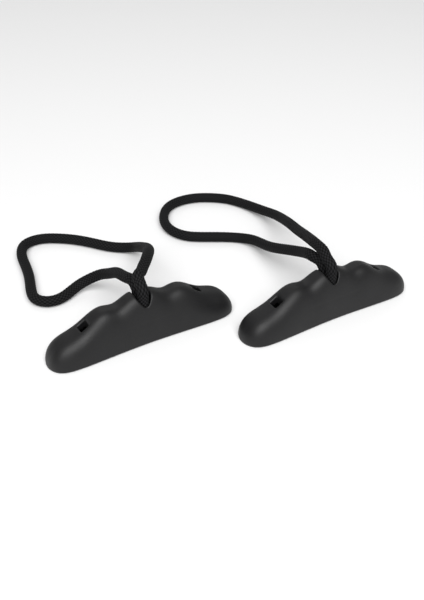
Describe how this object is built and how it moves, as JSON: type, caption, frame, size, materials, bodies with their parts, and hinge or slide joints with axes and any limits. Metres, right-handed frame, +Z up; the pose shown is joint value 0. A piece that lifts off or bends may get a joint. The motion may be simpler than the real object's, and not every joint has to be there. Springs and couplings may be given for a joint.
{
  "type": "carry handle pair",
  "caption": "Moulded carry handles with finger grooves, each on a braided cord loop that passes through its middle and is knotted in a pocket underneath.",
  "frame": {"origin": "on the surface that the pair stands on, at the middle of the box round the two grips", "axes": "+X along both grips, towards the right one; +Y across them, towards the cord loops; +Z up"},
  "size_m": [0.264, 0.2115, 0.0504],
  "materials": {
    "moulded_grip": "black moulded polyethylene with a fine even texture and a soft satin sheen",
    "braided_cord": "black braided polyester cord, diamond braid",
    "melted_cord": "cord end melted to a smooth hard bead"
  },
  "bodies": {
    "left_handle": {"left_grip": "moulded_grip"},
    "left_cord": {"left_cord_legs": "braided_cord", "left_knot": "braided_cord", "left_sealed_ends": "melted_cord"},
    "left_loop": {"left_cord_loop": "braided_cord"},
    "right_handle": {"right_grip": "moulded_grip"},
    "right_cord": {"right_cord_legs": "braided_cord", "right_knot": "braided_cord", "right_sealed_ends": "melted_cord"},
    "right_loop": {"right_cord_loop": "braided_cord"}
  },
  "joints": [
    {"name": "left_cord_pull", "type": "slide", "parent": "left_handle", "child": "left_cord", "axis": [0, 0, 1], "range_m": [0, 0.005]},
    {"name": "left_loop_swing", "type": "hinge", "parent": "left_cord", "child": "left_loop", "pos_m": [-0.062, 0.0215, 0.0377], "axis": [1, 0, 0], "range_deg": [0, 120]},
    {"name": "right_handle_lift", "type": "slide", "parent": "left_handle", "child": "right_handle", "axis": [0, 0, 1], "range_m": [0, 0.15]},
    {"name": "right_cord_pull", "type": "slide", "parent": "right_handle", "child": "right_cord", "axis": [0, 0, 1], "range_m": [0, 0.005]},
    {"name": "right_loop_swing", "type": "hinge", "parent": "right_cord", "child": "right_loop", "pos_m": [0.062, -0.0215, 0.0377], "axis": [1, 0, 0], "range_deg": [0, 120]}
  ]
}
